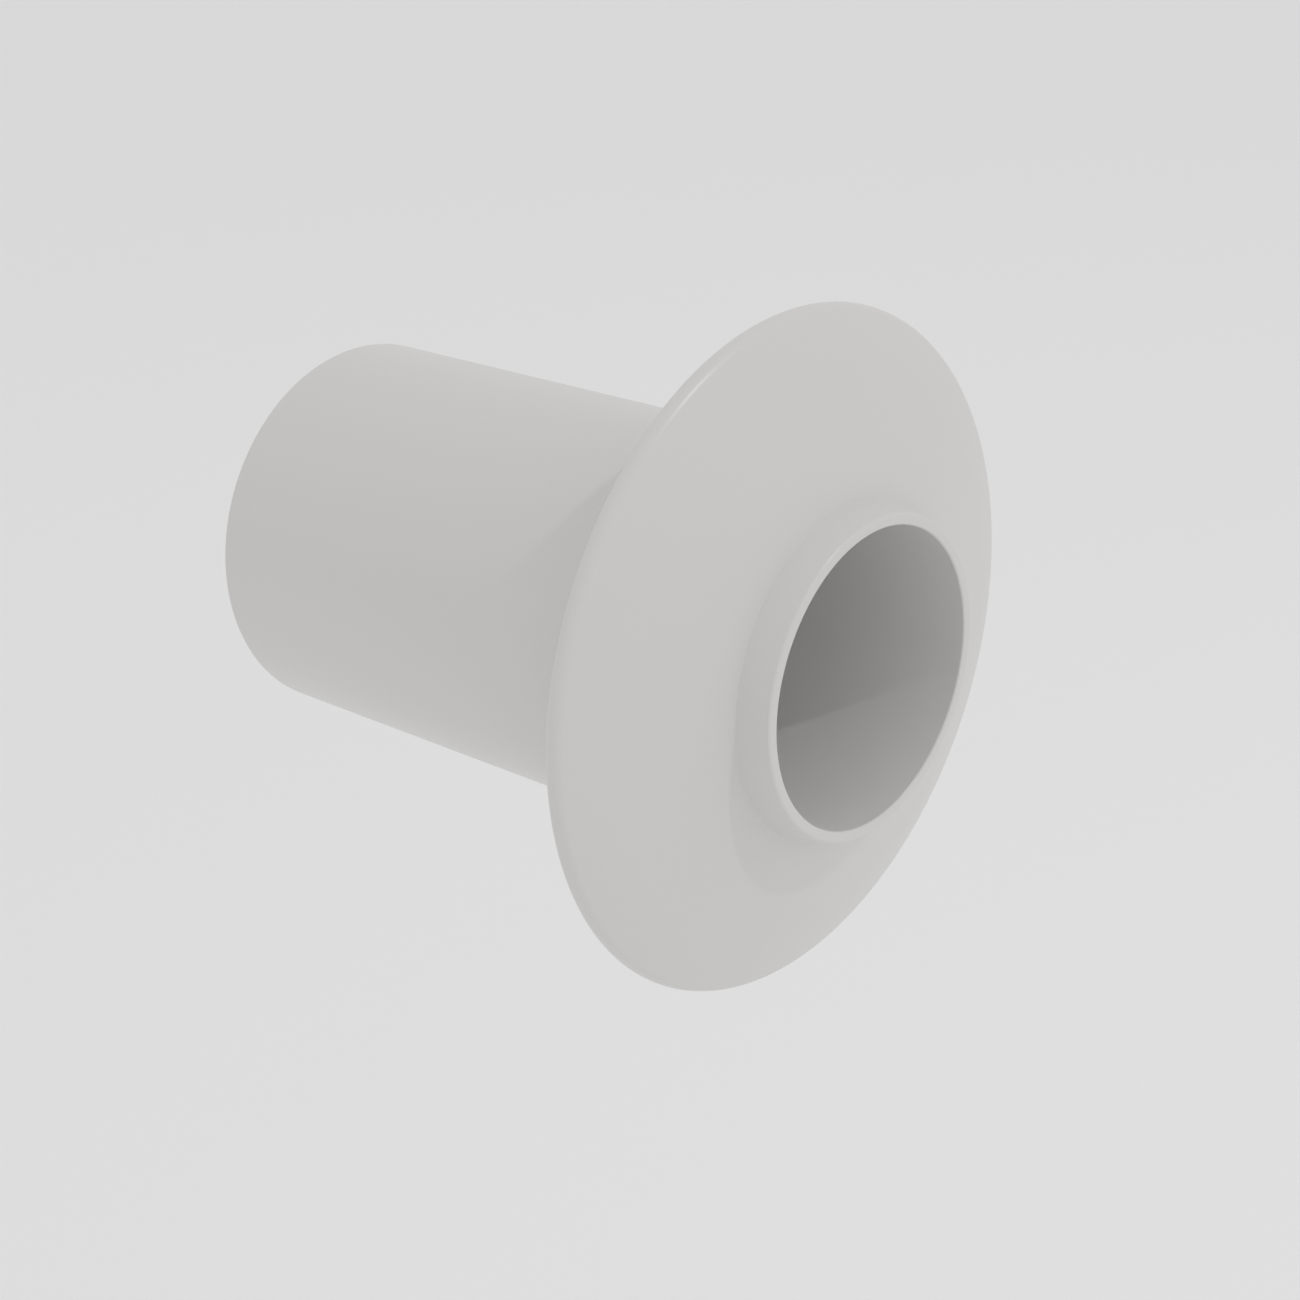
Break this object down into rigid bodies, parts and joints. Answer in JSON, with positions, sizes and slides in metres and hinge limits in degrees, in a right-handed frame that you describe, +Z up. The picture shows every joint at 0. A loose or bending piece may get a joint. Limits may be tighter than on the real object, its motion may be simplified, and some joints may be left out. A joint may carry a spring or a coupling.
{
  "type": "duct end collar",
  "caption": "Round wall collar for the end of a duct: a low domed flange with a short tapered neck in front and a long sleeve round the duct behind.",
  "frame": {"origin": "on the duct's axis, in the plane of the flange's flat foot, which lies on the wall", "axes": "+Y along the duct into the wall, so the neck and the dome face -Y; +Z up, square to the duct's axis"},
  "size_m": [0.1064, 0.109, 0.1064],
  "materials": {
    "moulding": "smooth semi-gloss light grey-white moulded plastic"
  },
  "bodies": {
    "root": {"collar": "moulding"}
  },
  "joints": []
}
